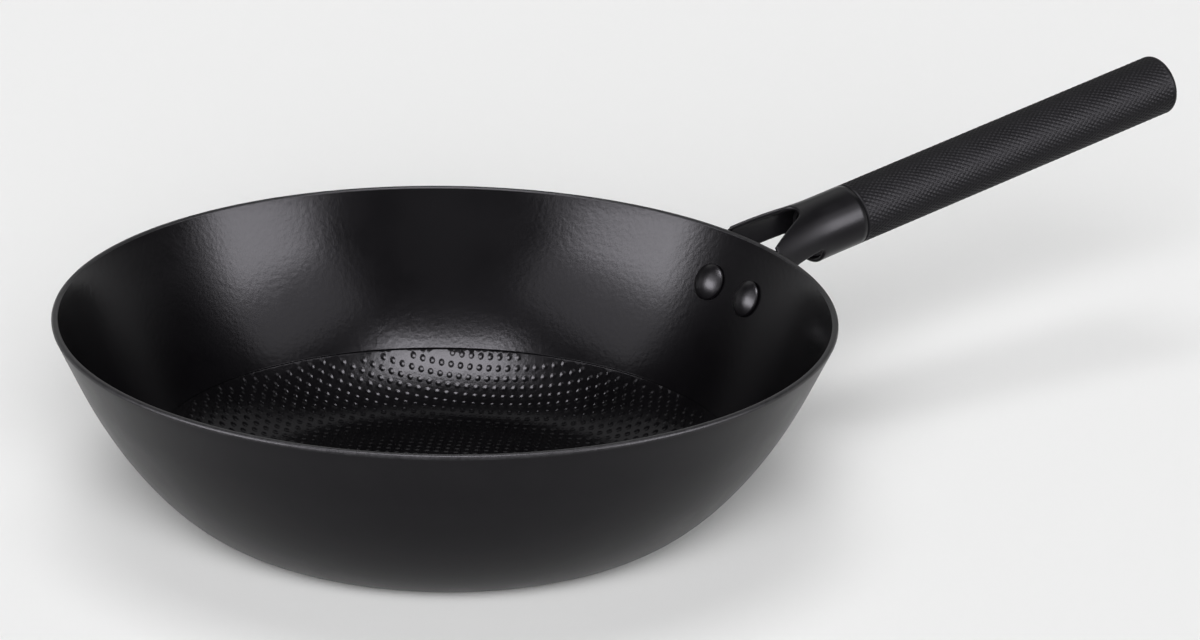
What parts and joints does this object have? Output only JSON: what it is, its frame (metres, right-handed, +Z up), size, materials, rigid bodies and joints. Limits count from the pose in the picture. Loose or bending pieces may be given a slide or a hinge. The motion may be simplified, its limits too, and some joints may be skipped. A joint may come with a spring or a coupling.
{
  "type": "wok",
  "caption": "Non-stick flat-bottomed wok with a straight leaning wall, a dimpled cooking field and a round knurled handle in a riveted forked bracket.",
  "frame": {"origin": "centre of the flat underside of the bowl's base", "axes": "+Z up along the bowl's axis, +X from the bowl's axis towards the handle"},
  "size_m": [0.4797, 0.2796, 0.1089],
  "materials": {
    "bowl_coating": "satin non-stick coating over cast aluminium",
    "bracket_coating": "smooth satin black",
    "rivet_coating": "satin non-stick coating",
    "grip_resin": "satin, fine crossed knurl",
    "fixing_steel": "plain steel",
    "insert_brass": "plain brass"
  },
  "bodies": {
    "root": {"wok_body": "bowl_coating", "handle_bracket": "bracket_coating", "rivet_left": "rivet_coating", "rivet_right": "rivet_coating", "grip": "grip_resin", "socket_cup": "bracket_coating", "handle_screw": "fixing_steel", "lock_washer": "fixing_steel", "thread_insert": "insert_brass"}
  },
  "joints": []
}
